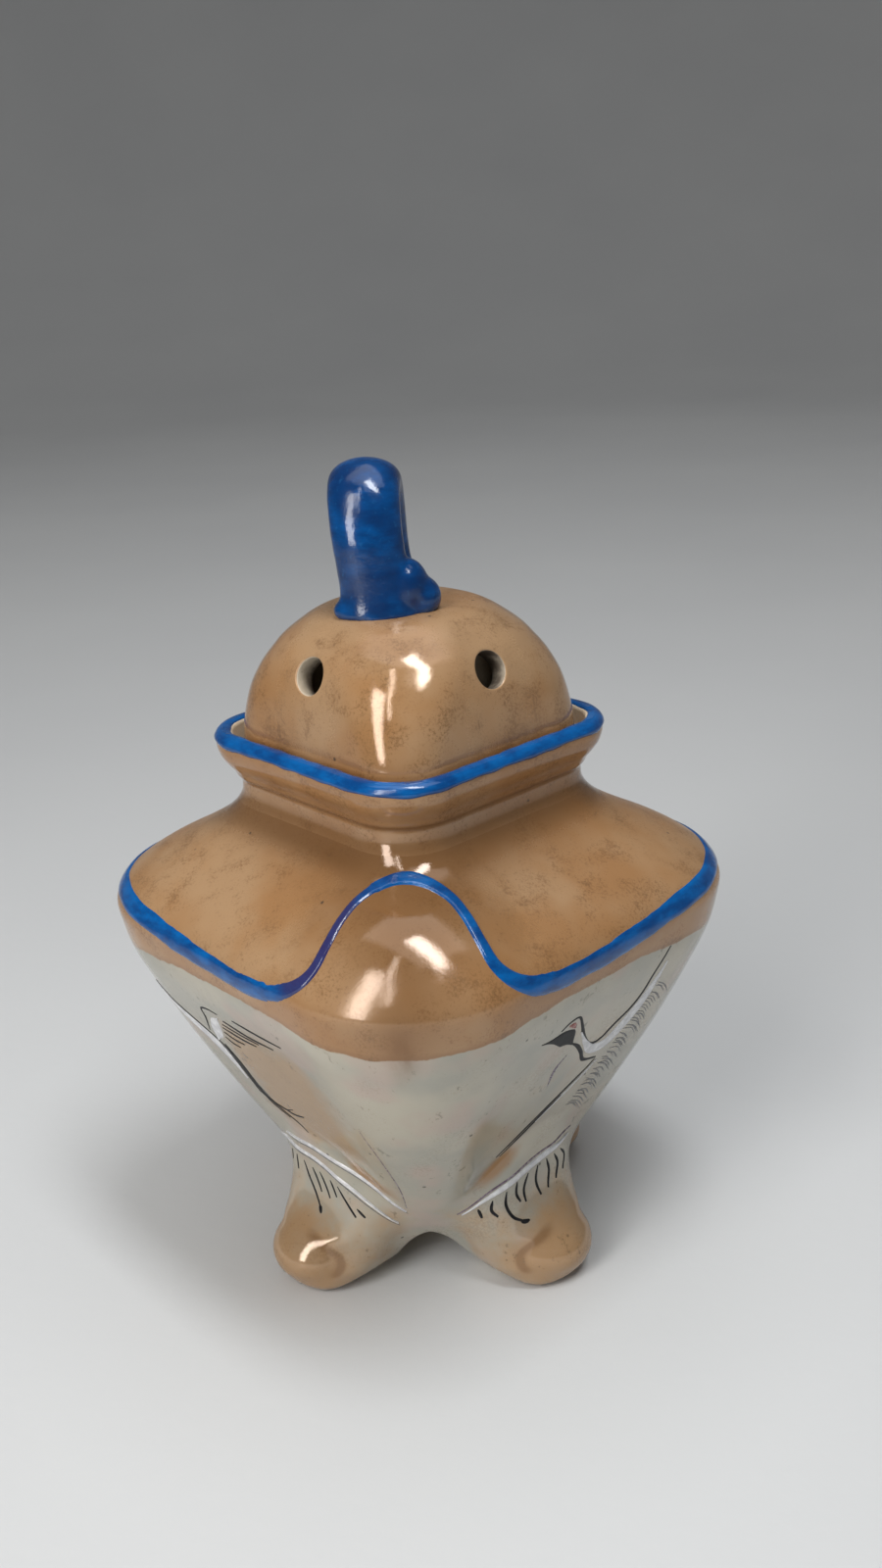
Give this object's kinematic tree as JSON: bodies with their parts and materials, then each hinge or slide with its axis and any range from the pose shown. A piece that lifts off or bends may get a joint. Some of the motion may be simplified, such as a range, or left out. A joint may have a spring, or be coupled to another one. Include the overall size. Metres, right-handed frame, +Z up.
{
  "type": "incense burner",
  "caption": "Square lidded incense burner on splayed feet: hollow tapering body, stepped collar, loose pierced dome lid with a loop knob.",
  "frame": {"origin": "centre of the base on the plane the feet stand on, under the middle of the square body", "axes": "+Z up, the way the lid lifts; the corners of the square point along X and Y, the front corner at -Y"},
  "size_m": [0.0996, 0.0996, 0.134],
  "materials": {
    "lustre_glaze": "peach and pearl lustre over a cream earthenware glaze, satin on the shoulder and glossy elsewhere",
    "blue_enamel": "thick glossy cobalt blue enamel",
    "bare_earthenware": "unglazed, matte cream"
  },
  "bodies": {
    "vessel": {"body_shell": "lustre_glaze", "collar": "lustre_glaze", "rim_line": "blue_enamel", "foot_front_left": "lustre_glaze", "foot_front_right": "lustre_glaze", "foot_back_left": "lustre_glaze", "foot_back_right": "lustre_glaze"},
    "lid": {"lid_dome": "lustre_glaze", "lid_flange": "bare_earthenware", "lid_finial": "blue_enamel"}
  },
  "joints": [
    {"name": "lid_lift", "type": "slide", "parent": "vessel", "child": "lid", "axis": [0, 0, 1], "range_m": [0, 0.04]}
  ]
}
